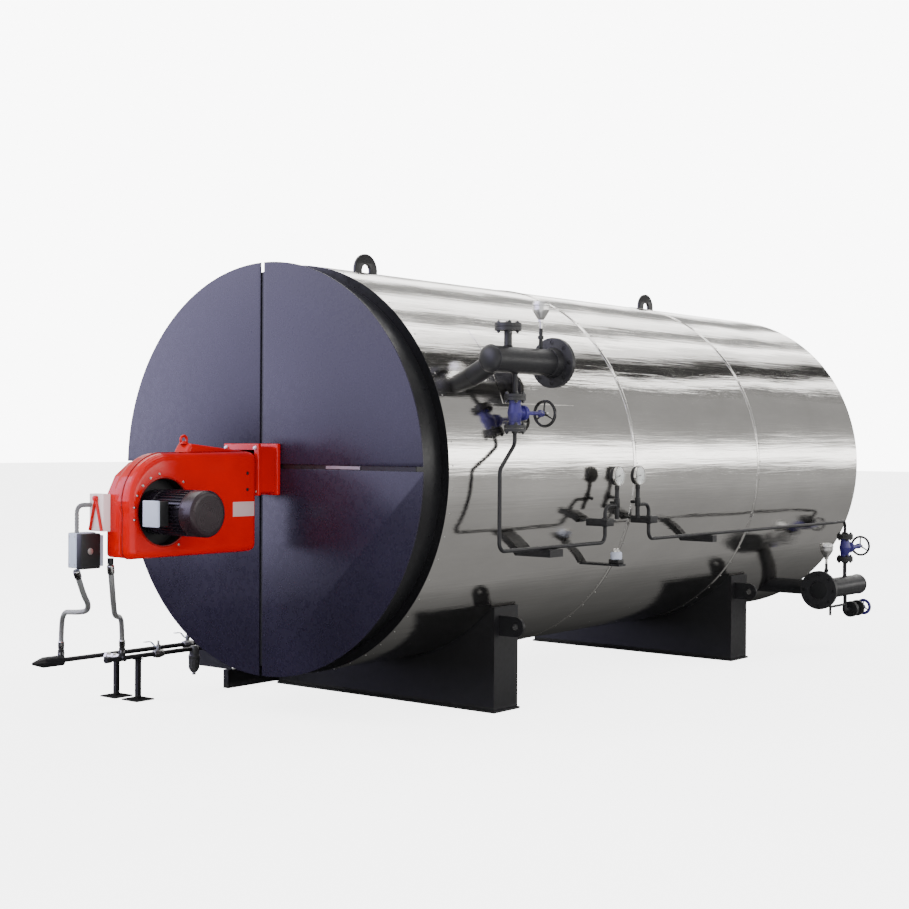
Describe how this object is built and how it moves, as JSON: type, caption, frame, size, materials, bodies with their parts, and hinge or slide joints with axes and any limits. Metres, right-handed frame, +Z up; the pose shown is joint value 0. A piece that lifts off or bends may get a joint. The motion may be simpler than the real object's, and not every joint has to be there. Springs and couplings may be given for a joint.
{
  "type": "industrial boiler",
  "caption": "Horizontal cylindrical thermal-oil boiler on saddles with a red oil burner on its front cover, side headers, valves and gauges.",
  "frame": {"origin": "centre of the front saddle's foot, on the floor", "axes": "+X to the right, the side with headers, valves and gauges; +Y along the drum to the rear; +Z up"},
  "size_m": [2.54, 6.3849, 2.553],
  "materials": {
    "bare_steel": "bare steel",
    "black_paint": "satin black enamel",
    "black_plastic": "matt black plastic",
    "blue_paint": "semi-gloss blue paint",
    "cast_iron": "dark grey casting",
    "cladding": "bright polished stainless sheet",
    "cover_paint": "semi-gloss slate violet paint",
    "grey_plastic": "light grey plastic",
    "hose_braid": "grey steel braid",
    "motor_black": "black enamel",
    "red_paint": "glossy red enamel",
    "white_dial": "white dial behind glass, steel case"
  },
  "bodies": {
    "boiler": {"burner_bracket": "red_paint", "burner_conduit": "grey_plastic", "burner_eye": "bare_steel", "burner_flange": "red_paint", "burner_housing": "red_paint", "cladding_courses": "cladding", "drain_line": "black_paint", "drain_valve": "blue_paint", "drum_casing": "black_paint", "fan_motor": "motor_black", "floor_beam": "black_paint", "flow_flange": "black_paint", "flow_gauge": "white_dial", "flow_gauge_line": "black_paint", "flow_header": "black_paint", "flow_nozzle": "black_paint", "flow_thermometer": "white_dial", "flow_valve": "blue_paint", "flow_valve_flanges": "black_paint", "flue_collar": "black_paint", "front_panels": "cover_paint", "front_saddle": "black_paint", "left_ball_valve": "bare_steel", "left_hose": "hose_braid", "lifting_eyes": "black_paint", "line_brackets": "black_paint", "motor_terminal_box": "grey_plastic", "nozzle_flashing": "cladding", "oil_filter": "cast_iron", "oil_line_left": "black_paint", "oil_line_right": "black_paint", "oil_port": "bare_steel", "oil_rack": "black_paint", "oil_stands": "black_paint", "oil_unit": "grey_plastic", "panel_strip": "bare_steel", "rear_cover": "black_paint", "rear_saddle": "black_paint", "return_flange": "black_paint", "return_gauge": "white_dial", "return_gauge_line": "black_paint", "return_header": "black_paint", "return_nozzle": "black_paint", "return_thermometer": "white_dial", "return_valve": "blue_paint", "return_valve_flanges": "black_paint", "right_ball_valve": "bare_steel", "right_hose": "hose_braid", "sensor_head": "bare_steel", "tie_lugs": "black_paint", "valve_stubs": "black_paint", "vent_blind": "black_paint", "vent_stub": "black_paint"},
    "flow_wheel": {"flow_handwheel": "black_plastic"},
    "return_wheel": {"return_handwheel": "black_plastic"},
    "drain_wheel": {"drain_handwheel": "blue_paint"},
    "left_lever": {"left_valve_lever": "bare_steel"},
    "right_lever": {"right_valve_lever": "bare_steel"}
  },
  "joints": [
    {"name": "flow_wheel_turn", "type": "hinge", "parent": "boiler", "child": "flow_wheel", "pos_m": [1.15, -0.113, 1.639], "axis": [0, 1, 0], "range_deg": [0, 1080]},
    {"name": "return_wheel_turn", "type": "hinge", "parent": "boiler", "child": "return_wheel", "pos_m": [1.15, 3.935, 0.735], "axis": [0, 1, 0], "range_deg": [0, 1080]},
    {"name": "drain_wheel_turn", "type": "hinge", "parent": "boiler", "child": "drain_wheel", "pos_m": [1.15, 3.997, 0.283], "axis": [0, 1, 0], "range_deg": [0, 1080]},
    {"name": "left_lever_turn", "type": "hinge", "parent": "boiler", "child": "left_lever", "pos_m": [-1.19, -0.525, 0.3045], "axis": [0, 0, 1], "range_deg": [0, 90]},
    {"name": "right_lever_turn", "type": "hinge", "parent": "boiler", "child": "right_lever", "pos_m": [-1, -0.92, 0.3045], "axis": [0, 0, 1], "range_deg": [0, 90]}
  ]
}
